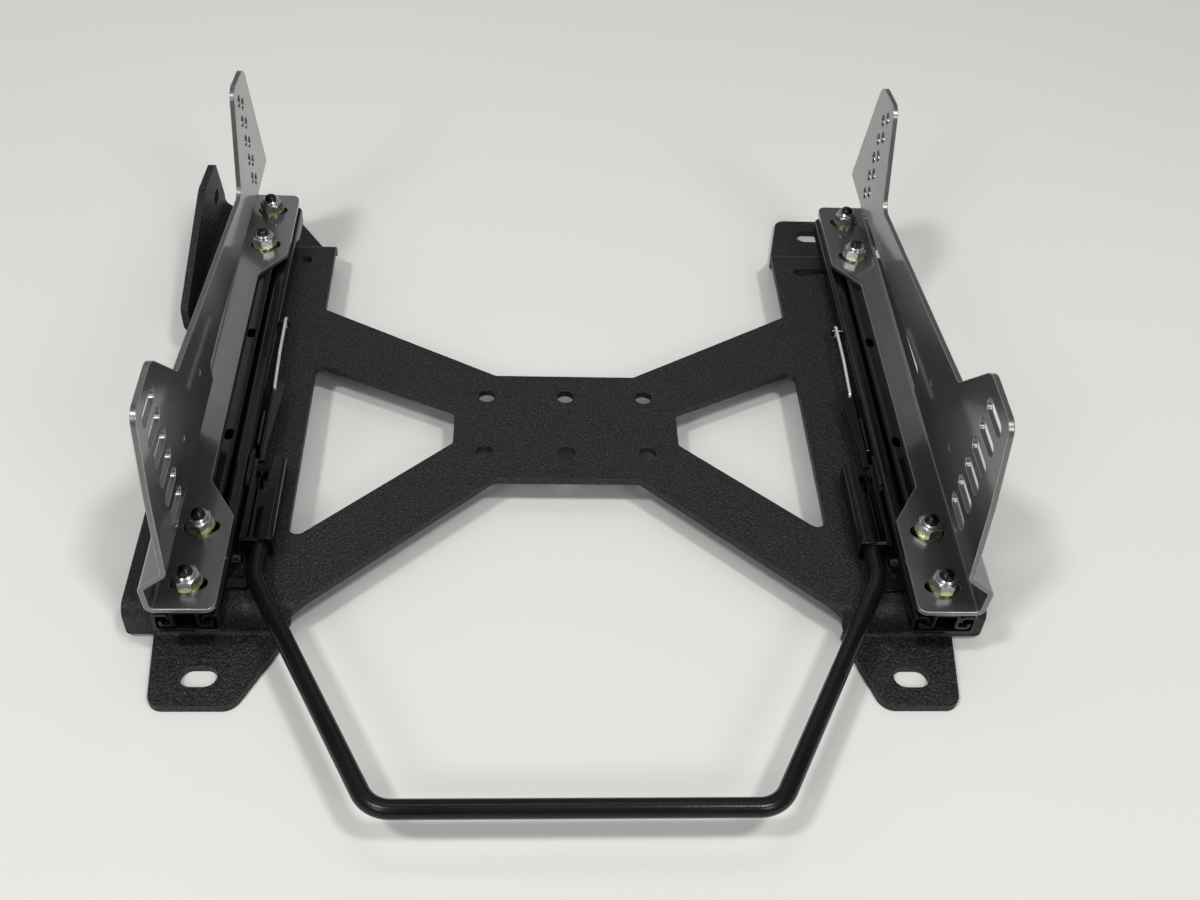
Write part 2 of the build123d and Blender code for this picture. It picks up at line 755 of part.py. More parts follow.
def side_mount():
    """Folded sheet: base flange, riser, shelf and upper wall with two ears."""
    top_z = front_ear_top_z + 5.0
    path = [
        (flange_inner_x - 2.0, hat_top),
        (riser_foot_x, hat_top),
        (riser_top_x, riser_top_z),
        (wall_x, wall_foot_z),
        (wall_x + wall_lean * (top_z - wall_foot_z), top_z),
    ]
    section = sheet_section(path, mount_t, mount_bend_r, left=True)
    sheet = seen_from_front(section, mount_front_y, mount_rear_y)
    plan = rounded_face([
        (flange_inner_x, mount_front_y, flange_corner_r),
        (mount_reach_x, mount_front_y, 0.0),
        (mount_reach_x, mount_rear_y, 0.0),
        (flange_inner_x, mount_rear_y, flange_corner_r),
        (flange_inner_x, waist_rear_y + waist_rear_run, flange_corner_r),
        (waist_x, waist_rear_y, flange_corner_r),
        (waist_x, waist_front_y, flange_corner_r),
        (flange_inner_x, waist_front_y - waist_front_run, flange_corner_r),
    ])
    sheet &= seen_from_top(plan, 0.0, top_z)
    outline = rounded_face([
        (mount_front_y, hat_top - past, 0.0),
        (mount_front_y, mount_edge_z, 20.0),
        (front_ear_knee_y, front_ear_knee_z, 30.0),
        (front_ear_tip_y, front_ear_top_z, 9.0),
        (front_ear_back_y, front_ear_top_z, 12.0),
        (front_ear_root_y, front_ear_root_z, 8.0),
        (rear_ear_root_y, rear_ear_root_z, 9.0),
        (rear_ear_tip_y, rear_ear_tip_z, 10.0),
        (rear_ear_back_y, rear_ear_back_z, 12.0),
        (mount_rear_y, mount_edge_z, 5.0),
        (mount_rear_y, hat_top - past, 0.0),
    ])
    sheet &= seen_from_side(outline, flange_inner_x - 5.0, mount_reach_x)
    opening = rounded_face([
        (opening_front_y, hat_top - past, 0.0),
        (opening_front_y, opening_front_z, opening_corner_r),
        (opening_rear_y, opening_rear_z, opening_corner_r),
        (opening_rear_y, hat_top - past, 0.0),
    ])
    cutter = seen_from_side(opening, waist_x, mount_reach_x)
    cutter -= box_between(waist_x - past, opening_flange_x, opening_front_y - past, opening_rear_y + past,
                          0.0, flange_top + 0.6)
    sheet -= cutter
    for y in stud_ys:
        slot = slot_face(rail_x - 0.5, y, stud_slot_length, stud_slot_r)
        sheet -= seen_from_top(slot, hat_top - past, flange_top + past)
    for i in range(seat_slot_count):
        slot = slot_face(seat_slot_y, seat_slot_top_z - seat_slot_pitch * i, seat_slot_length, seat_slot_r)
        sheet -= seen_from_side(slot, waist_x, riser_foot_x)
    for i in range(pair_count):
        for j in range(2):
            y = pair_y + pair_step_y * j
            z = pair_top_z - pair_pitch * i + pair_step_z * j
            sheet -= pin_along_x(pair_hole_r, waist_x, riser_foot_x, y, z)
    for y, z in pilot_holes:
        sheet -= pin_along_x(pilot_hole_r, waist_x, riser_foot_x, y, z)
    return sheet


def mount_studs():
    """Press-in studs of the upper rail."""
    studs = []
    for y in stud_ys:
        web_low = hat_top - hat_t
        head_r = hat_half_w - hat_t - hat_bend_r
        stud = disc(head_r, stud_head_h, rail_x, y, web_low - stud_head_h)
        stud += disc(stud_r, stud_top - web_low - stud_tip_h, rail_x, y, web_low)
        tip = Pos(rail_x, y, stud_top - stud_tip_h / 2) * Cone(stud_r, stud_tip_r, stud_tip_h)
        studs.append(stud + tip)
    return Compound(studs)


def mount_washers():
    """Plain washers on the base flange."""
    z = hat_top + mount_t
    ring = disc(washer_r, washer_t, 0, 0, z) - disc(stud_r + stud_spare, 3 * washer_t, 0, 0, z - washer_t)
    return Compound([Pos(rail_x, y, 0) * ring for y in stud_ys])


def mount_nuts():
    """Lock nuts with a collar."""
    z = hat_top + mount_t + washer_t
    nut = hex_nut(nut_flat, nut_h, stud_r + pivot_clear, nut_collar_r, nut_hex_h)
    nut -= disc(nut_collar_r - collar_wall, insert_h, 0, 0, nut_h - collar_lip - insert_h)
    return Compound([Pos(rail_x, y, z) * Rot(0, 0, nut_turn * i) * nut for i, y in enumerate(stud_ys)])


def nut_inserts():
    """Nylon rings in the collars of the lock nuts."""
    z = hat_top + mount_t + washer_t + nut_h - collar_lip - insert_h
    ring = disc(nut_collar_r - collar_wall, insert_h, 0, 0, z)
    ring -= disc(stud_r + pivot_clear, 3 * insert_h, 0, 0, z - insert_h)
    return Compound([Pos(rail_x, y, 0) * ring for y in stud_ys])


# Latch, modelled for the right side

def latch_bracket():
    """Plate welded to the lower rail's inboard wall, where the lever turns."""
    outline = rounded_face([
        (bracket_front_y, bracket_low, 2.0),
        (bracket_rear_y, bracket_low, 2.0),
        (bracket_rear_y, bracket_top, 6.0),
        (bracket_front_y, bracket_top, 3.0),
    ])
    plate = seen_from_side(outline, bracket_x, rail_face_x)
    bead = pin_along_x(weld_r, 0.0, bracket_rear_y - bracket_front_y - 12.0, 0, 0)
    bead = Pos(rail_face_x, bracket_front_y + 5.0, rail_h) * Rot(0, 0, 90) * bead
    bead &= box_between(bracket_x, rail_face_x, bracket_front_y, bracket_rear_y, rail_h, bracket_top + weld_r)
    plate += bead
    return plate - pin_along_x(pivot_r, bracket_x - past, rail_face_x + past, pivot_y, pivot_z)


def lever():
    """Release lever: a tray for the end of the bar and a tapered arm behind the pivot."""
    path = [
        (lever_out_x, lever_top),
        (lever_out_x, lever_low),
        (tray_in_x, lever_low),
        (tray_in_x, tray_top),
        (tray_in_x + tray_flange, tray_top),
    ]
    tray_section = sheet_section(path, lever_sheet, lever_bend_r, left=False)
    tray = seen_from_front(tray_section, tray_front_y, tray_rear_y)
    front = rounded_face([
        (tray_in_x, lever_low, 3.0),
        (lever_out_x, lever_low, 3.0),
        (lever_out_x, tray_top - 0.6, 3.0),
        (tray_in_x + tray_w / 2, tray_top - 1.6, 6.0),
        (tray_in_x, tray_top, 1.5),
    ])
    tray += seen_from_front(front, tray_front_y, tray_front_y + lever_sheet)
    tray -= Pos(bar_x, tray_front_y, bar_z) * Rot(90, 0, 0) * Cylinder(bar_r + bar_clear, 6 * lever_sheet)
    angle_path = [(lever_out_x, 0.0), (lever_out_x, arm_top), (lever_out_x - arm_wide, arm_top)]
    arm_section = sheet_section(angle_path, lever_sheet, lever_bend_r, left=True)
    arm = seen_from_front(arm_section, tray_rear_y, arm_rear_y)
    plan = rounded_face([
        (lever_out_x, tray_rear_y, 0.0),
        (lever_out_x, arm_rear_y, arm_tip_r),
        (lever_out_x - arm_wide, arm_rear_y, arm_tip_r),
        (lever_out_x - arm_narrow, arm_narrow_y, 8.0),
        (lever_out_x - arm_narrow, tray_rear_y, 0.0),
    ])
    arm &= seen_from_top(plan, 0.0, arm_top)
    wall = rounded_face([
        (tray_rear_y, arm_root_low - 2.0, 0.0),
        (tray_rear_y, arm_top, 0.0),
        (arm_rear_y, arm_top, 0.0),
        (arm_rear_y, arm_tip_low, 2.0),
        (arm_narrow_y + 20.0, arm_root_low, 10.0),
    ])
    arm &= seen_from_side(wall, lever_out_x - arm_wide, lever_out_x)
    body = tray + arm
    body -= pin_along_x(pivot_r + pivot_clear, lever_in_x - past, lever_out_x + past, pivot_y, pivot_z)
    body -= disc(hook_hole_r, 3 * lever_sheet, hook_x, hook_hole_y, arm_top - 2 * lever_sheet)
    for y in pawl_rivet_ys:
        body -= pin_along_x(pawl_rivet_r, lever_in_x - past, lever_out_x + past, y, pawl_rivet_z)
    return body


def lever_pivot():
    """Shouldered rivet that the lever turns on, held in the bracket and the rail."""
    head_x = lever_in_x - head_gap
    shaft = pin_along_x(pivot_r, head_x, rail_face_x + rail_t, pivot_y, pivot_z)
    head = Pos(head_x - pivot_head_t / 2, pivot_y, pivot_z) * Rot(0, -90, 0)
    return shaft + head * Cone(pivot_head_r, pivot_head_r - 1.2, pivot_head_t)


def stop_rivet():
    """Rounded rivet in the rail, in front of the lever's tray."""
    shank = pin_along_x(stop_rivet_r, rail_face_x, rail_face_x + rail_t, stop_rivet_y, stop_rivet_z)
    head = Pos(rail_face_x - stop_rivet_head_t / 2, stop_rivet_y, stop_rivet_z) * Rot(0, -90, 0)
    head *= Cone(stop_rivet_head_r, stop_rivet_head_r - 0.5, stop_rivet_head_t)
    return shank + fillet(head.edges().sort_by(Axis.X)[0], stop_rivet_round_r)


def spring_stud():
    """Headed stud in the rail that the wire spring hooks over."""
    tip_x = rail_face_x - spring_stud_out
    head_x = tip_x - spring_stud_head_t
    stud = pin_along_x(spring_stud_r, tip_x, rail_face_x + rail_t, spring_stud_y, spring_stud_z)
    return stud + pin_along_x(spring_stud_head_r, head_x, tip_x, spring_stud_y, spring_stud_z)


def latch_spring():
    """Wire from the stud to the tip of the lever."""
    eye_r = spring_stud_r + wire_r + 0.1
    eye_x = rail_face_x - spring_stud_out + wire_r + wire_gap
    over = arm_top + wire_r + wire_gap
    route = FilletPolyline(
        (hook_x, hook_hole_y, arm_top - hook_below),
        (hook_x, hook_hole_y, over),
        (eye_x - 0.6, (hook_hole_y + spring_stud_y) / 2, over),
        (eye_x, spring_stud_y, spring_stud_z + eye_r),
        radius=[hook_turn_r, spring_sweep_r])
    start = Plane(origin=route @ 0, z_dir=route % 0)
    wire = sweep(start * Circle(wire_r), path=route)
    eye = Pos(eye_x, spring_stud_y, spring_stud_z) * Rot(0, 90, 0) * Torus(eye_r, wire_r)
    return wire + eye


def lock_pawl():
    """Plate with teeth that face the notches through the rail's wall."""
    tooth_x = rail_x - hook_outer - tooth_gap
    outline = rounded_face([
        (pawl_front_y, pawl_low, 1.0),
        (pawl_rear_y, pawl_low, 1.0),
        (pawl_rear_y, arm_top - 1.0, 2.0),
        (pawl_front_y, arm_top - 1.0, 2.0),
    ])
    pawl = seen_from_side(outline, lever_out_x, lever_out_x + pawl_t)
    for y in tooth_ys():
        pawl += box_between(lever_out_x, tooth_x, y - tooth_w / 2, y + tooth_w / 2, tooth_low, tooth_high)
    for y in pawl_rivet_ys:
        pawl -= pin_along_x(pawl_rivet_r, lever_out_x - past, lever_out_x + pawl_t + past, y, pawl_rivet_z)
    return pawl


def pawl_rivets():
    """Rivets that hold the pawl on the lever."""
    rivets = []
    for y in pawl_rivet_ys:
        shaft = pin_along_x(pawl_rivet_r, lever_in_x, lever_out_x + pawl_t, y, pawl_rivet_z)
        head = Pos(lever_in_x - 0.5, y, pawl_rivet_z) * Rot(0, -90, 0)
        rivets.append(shaft + head * Cone(pawl_rivet_r + pawl_rivet_head, pawl_rivet_r, 1.0))
    return Compound(rivets)


def release_bar():
    """Round tube bent to a towel-bar shape, one end in each lever."""
    corners = [
        (-bar_x, bar_end_y, bar_z),
        (-bar_x, bar_bend_y, bar_z),
        (-bar_corner_x, bar_front_y, bar_z),
        (bar_corner_x, bar_front_y, bar_z),
        (bar_x, bar_bend_y, bar_z),
        (bar_x, bar_end_y, bar_z),
    ]
    route = FilletPolyline(*corners, radius=[bar_bend_r, bar_corner_r, bar_corner_r, bar_bend_r])
    start = Plane(origin=route @ 0, z_dir=route % 0)
    ring = Circle(bar_r) - Circle(bar_r - bar_wall)
    return sweep(start * ring, path=route)


# Build and write every node

right_side = {
    "lower_rail": lower_rail(),
    "upper_rail": upper_rail(),
    "side_mount": side_mount(),
    "mount_studs": mount_studs(),
    "mount_washers": mount_washers(),
    "mount_nuts": mount_nuts(),
    "nut_inserts": nut_inserts(),
    "ball_cages": ball_cages(),
    "roller_cages": roller_cages(),
    "bearing_balls": bearing_balls(),
    "bearing_rollers": bearing_rollers(),
    "latch_bracket": latch_bracket(),
    "lever": lever(),
    "lever_pivot": lever_pivot(),
    "spring_stud": spring_stud(),
    "stop_rivet": stop_rivet(),
    "latch_spring": latch_spring(),
    "lock_pawl": lock_pawl(),
    "pawl_rivets": pawl_rivets(),
}

nodes = {
    "floor_plate": floor_plate(),
    "rail_bolts": rail_bolts(),
    "rail_nuts": rail_nuts(),
    "release_bar": release_bar(),
}
for name, solid in right_side.items():
    nodes["right_" + name] = solid
    nodes["left_" + name] = other_side(solid)

os.makedirs("parts", exist_ok=True)
for name, solid in nodes.items():
    export_step(solid, "parts/" + name + ".step")
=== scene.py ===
import json
import logging
import math
from dataclasses import dataclass, field
from enum import Enum
from typing import Callable, Dict, List, Tuple

import bmesh
import bpy
from mathutils import Matrix, Vector

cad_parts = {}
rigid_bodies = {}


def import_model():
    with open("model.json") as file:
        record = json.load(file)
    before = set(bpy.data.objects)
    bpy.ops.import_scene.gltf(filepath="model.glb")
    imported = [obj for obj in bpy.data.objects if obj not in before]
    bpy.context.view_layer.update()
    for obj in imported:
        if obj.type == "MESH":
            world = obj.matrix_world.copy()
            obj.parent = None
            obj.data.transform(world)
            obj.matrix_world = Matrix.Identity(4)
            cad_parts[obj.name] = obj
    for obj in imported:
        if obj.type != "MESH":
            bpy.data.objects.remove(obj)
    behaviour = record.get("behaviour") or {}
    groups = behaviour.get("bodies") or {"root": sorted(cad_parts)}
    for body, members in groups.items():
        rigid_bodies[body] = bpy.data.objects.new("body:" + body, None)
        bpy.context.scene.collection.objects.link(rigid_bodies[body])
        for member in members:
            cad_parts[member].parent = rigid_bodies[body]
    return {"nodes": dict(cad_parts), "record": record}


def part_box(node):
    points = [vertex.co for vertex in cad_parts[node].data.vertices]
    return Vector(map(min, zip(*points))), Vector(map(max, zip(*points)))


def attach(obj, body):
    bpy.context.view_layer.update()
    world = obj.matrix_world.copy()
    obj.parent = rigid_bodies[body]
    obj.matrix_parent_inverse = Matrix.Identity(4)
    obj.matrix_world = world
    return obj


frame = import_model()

log = logging.getLogger("seat_mount")
logging.basicConfig(level=logging.INFO, format="%(message)s")

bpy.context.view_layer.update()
MM = 0.001
Colour = Tuple[float, float, float]
Point = Tuple[float, float, float]


class Side(Enum):
    """The two sides of the seat, with the sign of their X."""

    LEFT = -1
    RIGHT = 1

    @property
    def word(self) -> str:
        """Name of the side as the nodes spell it."""
        return self.name.lower()


class Tree:
    """Short way to add and link a material's nodes."""

    def __init__(self, name: str) -> None:
        """Start an empty material.

        Args:
            name: name of the material.
        """
        self.material = bpy.data.materials.new(name)
        self.material.use_nodes = True
        self.nodes = self.material.node_tree.nodes
        self.links = self.material.node_tree.links
        self.nodes.clear()
        self.place = self.add("ShaderNodeTexCoord").outputs["Object"]

    def add(self, kind: str, **settings: object) -> bpy.types.Node:
        """Add a node with its properties and socket values.

        Args:
            kind: node type.
            **settings: a property's value, or an input's value when the name starts with "in_".

        Returns:
            The new node.
        """
        node = self.nodes.new(kind)
        for key, value in settings.items():
            if key.startswith("in_"):
                node.inputs[key[3:].replace("_", " ")].default_value = value
            else:
                setattr(node, key, value)
        return node

    def link(self, out: bpy.types.NodeSocket, into: bpy.types.NodeSocket) -> None:
        """Join two sockets."""
        self.links.new(out, into)

    def noise(self, scale: float, detail: float = 3.0, rough: float = 0.5,
              stretch: Point = (1.0, 1.0, 1.0)) -> bpy.types.NodeSocket:
        """Noise on the object's own coordinates.

        Args:
            scale: features per metre.
            detail: octaves of noise.
            rough: weight of the finer octaves.
            stretch: scale along each axis.

        Returns:
            The factor output.
        """
        mapping = self.add("ShaderNodeMapping", in_Scale=stretch)
        self.link(self.place, mapping.inputs["Vector"])
        noise = self.add("ShaderNodeTexNoise", in_Scale=scale, in_Detail=detail, in_Roughness=rough)
        self.link(mapping.outputs["Vector"], noise.inputs["Vector"])
        return noise.outputs["Fac"]

    def cells(self, scale: float, feature: str = "F1") -> bpy.types.NodeSocket:
        """Distance output of a Voronoi pattern.

        Args:
            scale: cells per metre.
            feature: Voronoi feature.

        Returns:
            The distance output.
        """
        cells = self.add("ShaderNodeTexVoronoi", feature=feature, in_Scale=scale)
        self.link(self.place, cells.inputs["Vector"])
        return cells.outputs["Distance"]

    def ramp(self, fac: bpy.types.NodeSocket, low: float, high: float,
             out_low: float = 0.0, out_high: float = 1.0) -> bpy.types.NodeSocket:
        """Map a range of values onto another, held at both ends.

        Args:
            fac: value to map.
            low: input at the low end.
            high: input at the high end.
            out_low: result at the low end.
            out_high: result at the high end.

        Returns:
            The mapped value.
        """
        node = self.add("ShaderNodeMapRange")
        for key, value in (("From Min", low), ("From Max", high), ("To Min", out_low), ("To Max", out_high)):
            node.inputs[key].default_value = value
        self.link(fac, node.inputs["Value"])
        return node.outputs["Result"]

    def mix(self, fac: bpy.types.NodeSocket, a: object, b: object) -> bpy.types.NodeSocket:
        """Mix two colours, each a socket or a plain colour.

        Args:
            fac: share of the second colour.
            a: first colour.
            b: second colour.

        Returns:
            The mixed colour.
        """
        node = self.add("ShaderNodeMix", data_type="RGBA")
        self.link(fac, node.inputs[0])
        for value, socket in ((a, node.inputs[6]), (b, node.inputs[7])):
            if isinstance(value, bpy.types.NodeSocket):
                self.link(value, socket)
            else:
                socket.default_value = (*value, 1.0)
        return node.outputs[2]

    def sum(self, a: bpy.types.NodeSocket, b: bpy.types.NodeSocket, share: float) -> bpy.types.NodeSocket:
        """First value plus a share of the second.

        Args:
            a: first value.
            b: second value.
            share: weight of the second value.

        Returns:
            The sum.
        """
        node = self.add("ShaderNodeMath", operation="MULTIPLY_ADD")
        self.link(b, node.inputs[0])
        node.inputs[1].default_value = share
        self.link(a, node.inputs[2])
        return node.outputs[0]

    def edges(self, radius: float) -> Tuple[bpy.types.NodeSocket, bpy.types.NodeSocket]:
        """Rounded normal at sharp edges, and a mask that is one on those edges.

        Args:
            radius: radius of the rounding in metres.

        Returns:
            The normal and the mask.
        """
        bevel = self.add("ShaderNodeBevel", samples=6, in_Radius=radius)
        flat = self.add("ShaderNodeNewGeometry").outputs["True Normal"]
        dot = self.add("ShaderNodeVectorMath", operation="DOT_PRODUCT")
        self.link(bevel.outputs["Normal"], dot.inputs[0])
        self.link(flat, dot.inputs[1])
        return bevel.outputs["Normal"], self.ramp(dot.outputs["Value"], 0.995, 0.86)

    def bump(self, height: bpy.types.NodeSocket, strength: float, distance: float,
             normal: bpy.types.NodeSocket = None) -> bpy.types.NodeSocket:
        """Bump from a height.

        Args:
            height: height between 0 and 1.
            strength: strength of the bump.
            distance: depth in metres.
            normal: normal that the bump is laid on.

        Returns:
            The bumped normal.
        """
        node = self.add("ShaderNodeBump", in_Strength=strength, in_Distance=distance)
        self.link(height, node.inputs["Height"])
        if normal is not None:
            self.link(normal, node.inputs["Normal"])
        return node.outputs["Normal"]

    def finish(self, colour: object, rough: object, normal: bpy.types.NodeSocket = None,
               coat_normal: bpy.types.NodeSocket = None, **sockets: object) -> bpy.types.Material:
        """Wire the shader and return the material.

        Args:
            colour: colour or a socket.
            rough: roughness or a socket.
            normal: normal of the base layer.
            coat_normal: normal of the coat.
            **sockets: values of the shader's other inputs, with underscores for spaces.

        Returns:
            The material.
        """
        shader = self.add("ShaderNodeBsdfPrincipled")
        out = self.add("ShaderNodeOutputMaterial")
        self.link(shader.outputs["BSDF"], out.inputs["Surface"])
        if isinstance(colour, bpy.types.NodeSocket):
            self.link(colour, shader.inputs["Base Color"])
        else:
            shader.inputs["Base Color"].default_value = (*colour, 1.0)
        if isinstance(rough, bpy.types.NodeSocket):
            self.link(rough, shader.inputs["Roughness"])
        else:
            shader.inputs["Roughness"].default_value = rough
        if normal is not None:
            self.link(normal, shader.inputs["Normal"])
        if coat_normal is not None:
            self.link(coat_normal, shader.inputs["Coat Normal"])
        for key, value in sockets.items():
            shader.inputs[key.replace("_", " ")].default_value = value
        return self.material


@dataclass(frozen=True)
class WrinkleCoat:
    """Fine wrinkle powder coat of the floor plate."""

    name: str = "wrinkle_coat"
    low: Colour = (0.0040, 0.0048, 0.0048)
    high: Colour = (0.0185, 0.0198, 0.0198)
    speck: Colour = (0.110, 0.113, 0.113)
    # lighter colour laid on the plate's edges: a painted highlight
    edge: Colour = (0.045, 0.046, 0.046)
    grains: float = 720.0
    pits: float = 620.0
    specks: float = 900.0
    patches: float = 22.0
    depth: float = 0.65 * MM
    edge_radius: float = 0.6 * MM
    rough_low: float = 0.40
    rough_high: float = 0.56
    shine: float = 0.32

    def build(self) -> bpy.types.Material:
        """Make the material."""
        t = Tree(self.name)
        grain = t.noise(self.grains, 2.0, 0.6)
        pits = t.cells(self.pits, "SMOOTH_F1")
        height = t.sum(grain, pits, 0.8)
        patches = t.noise(self.patches, 2.0)
        normal, mask = t.edges(self.edge_radius)
        tone = t.mix(t.ramp(grain, 0.38, 0.62), self.low, self.high)
        tone = t.mix(t.ramp(t.noise(self.specks, 1.0), 0.62, 0.71, 0.0, 0.6), tone, self.speck)
        # painted highlight: the coat is lightened along its edges by the bevel mask
        tone = t.mix(t.ramp(mask, 0.0, 1.0, 0.0, 0.6), tone, self.edge)
        rough = t.sum(t.ramp(grain, 0.3, 0.7, self.rough_low, self.rough_high), patches, 0.06)
        return t.finish(tone, rough, t.bump(height, 1.0, self.depth, normal), Specular_IOR_Level=self.shine)


@dataclass(frozen=True)
class GlossPaint:
    """Smooth black paint with a faint orange peel."""

    name: str
    low: Colour = (0.0035, 0.0040, 0.0040)
    high: Colour = (0.0065, 0.0070, 0.0070)
    # lighter colour laid on the paint's edges: a painted highlight
    edge: Colour = (0.020, 0.020, 0.021)
    rough_low: float = 0.10
    rough_high: float = 0.20
    peel: float = 0.10
    peel_scale: float = 210.0
    peel_depth: float = 0.4 * MM
    dust: float = 1400.0
    patches: float = 30.0
    edge_radius: float = 0.4 * MM
    shine: float = 0.5

    def build(self) -> bpy.types.Material:
        """Make the material."""
        t = Tree(self.name)
        peel = t.noise(self.peel_scale, 2.0, 0.4)
        dust = t.noise(self.dust, 2.0, 0.7)
        patches = t.noise(self.patches, 3.0)
        normal, mask = t.edges(self.edge_radius)
        tone = t.mix(t.ramp(patches, 0.35, 0.65), self.low, self.high)
        # painted highlight: the paint is lightened along its edges by the bevel mask
        tone = t.mix(t.ramp(mask, 0.0, 1.0, 0.0, 0.5), tone, self.edge)
        rough = t.ramp(patches, 0.3, 0.7, self.rough_low, self.rough_high)
        rough = t.sum(rough, t.ramp(dust, 0.6, 0.8), 0.25)
        return t.finish(tone, rough, t.bump(peel, self.peel, self.peel_depth, normal),
                        IOR=1.5, Specular_IOR_Level=self.shine)


@dataclass(frozen=True)
class ClearCoatedSteel:
    """Dark steel sheet under a glossy clear coat, with lighter cut edges: partly the bare cut steel, partly a
    painted highlight.
    """

    name: str = "clear_coated_steel"
    low: Colour = (0.142, 0.145, 0.142)
    high: Colour = (0.188, 0.192, 0.188)
    # light colour on the cut edges: the slightly lighter bare cut face, lightened much further as a painted
    # highlight of the rounded rims
    edge: Colour = (0.62, 0.63, 0.62)
    speck: Colour = (0.42, 0.42, 0.42)
    mill_lines: float = 55.0
    mill_stretch: Point = (1.0, 0.12, 9.0)
    clouds: float = 14.0
    specks: float = 900.0
    coat_waves: float = 120.0
    mill_depth: float = 0.2 * MM
    coat_depth: float = 0.4 * MM
    edge_radius: float = 0.75 * MM
    rough_low: float = 0.26
    rough_high: float = 0.36

    def build(self) -> bpy.types.Material:
        """Make the material."""
        t = Tree(self.name)
        mill = t.noise(self.mill_lines, 5.0, 0.6, stretch=self.mill_stretch)
        cloud = t.noise(self.clouds, 3.0)
        specks = t.noise(self.specks, 1.0)
        normal, mask = t.edges(self.edge_radius)
        tone = t.mix(t.ramp(t.sum(mill, cloud, 0.6), 0.55, 1.05), self.low, self.high)
        tone = t.mix(t.ramp(specks, 0.70, 0.78, 0.0, 0.35), tone, self.speck)
        # painted highlight mixed with the lighter bare cut face along the edges
        tone = t.mix(t.ramp(mask, 0.0, 1.0, 0.0, 0.9), tone, self.edge)
        rough = t.ramp(cloud, 0.3, 0.7, self.rough_low, self.rough_high)
        base = t.bump(mill, 0.10, self.mill_depth, normal)
        coat = t.bump(t.noise(self.coat_waves, 2.0), 0.06, self.coat_depth, normal)
        return t.finish(tone, rough, base, coat, Metallic=0.85, Coat_Weight=0.8, Coat_Roughness=0.07, IOR=1.5)


@dataclass(frozen=True)
class PlatedMetal:
    """Zinc plate, bearing steel or bright wire."""

    name: str
    low: Colour
    high: Colour
    rough_low: float = 0.18
    rough_high: float = 0.34
    grain: float = 260.0
    fineness: float = 9.0
    depth: float = 0.12
    grain_depth: float = 0.1 * MM
    edge_radius: float = 0.3 * MM
    # how much lighter the edges are painted: a painted highlight
    edge_gain: float = 1.3
    metallic: float = 1.0

    def build(self) -> bpy.types.Material:
        """Make the material."""
        t = Tree(self.name)
        cloud = t.noise(self.grain, 3.0)
        fine = t.noise(self.grain * self.fineness, 2.0)
        normal, mask = t.edges(self.edge_radius)
        # painted highlight: the edges get a lighter copy of the high colour
        bright = tuple(min(1.0, c * self.edge_gain) for c in self.high)
        tone = t.mix(t.ramp(cloud, 0.32, 0.68), self.low, self.high)
        tone = t.mix(t.ramp(mask, 0.0, 1.0, 0.0, 0.5), tone, bright)
        rough = t.ramp(cloud, 0.3, 0.7, self.rough_low, self.rough_high)
        return t.finish(tone, rough, t.bump(fine, self.depth, self.grain_depth, normal),
                        Metallic=self.metallic)


@dataclass(frozen=True)
class Moulded:
    """Plain nylon of the lock nuts' inserts."""

    name: str
    colour: Colour
    rough: float = 0.45
    grains: float = 1500.0
    grain_depth: float = 0.1 * MM
    gain: float = 1.35

    def build(self) -> bpy.types.Material:
        """Make the material."""
        t = Tree(self.name)
        fine = t.noise(self.grains, 2.0)
        tone = t.mix(t.ramp(fine, 0.3, 0.7), self.colour, tuple(c * self.gain for c in self.colour))
        return t.finish(tone, self.rough, t.bump(fine, 0.15, self.grain_depth))


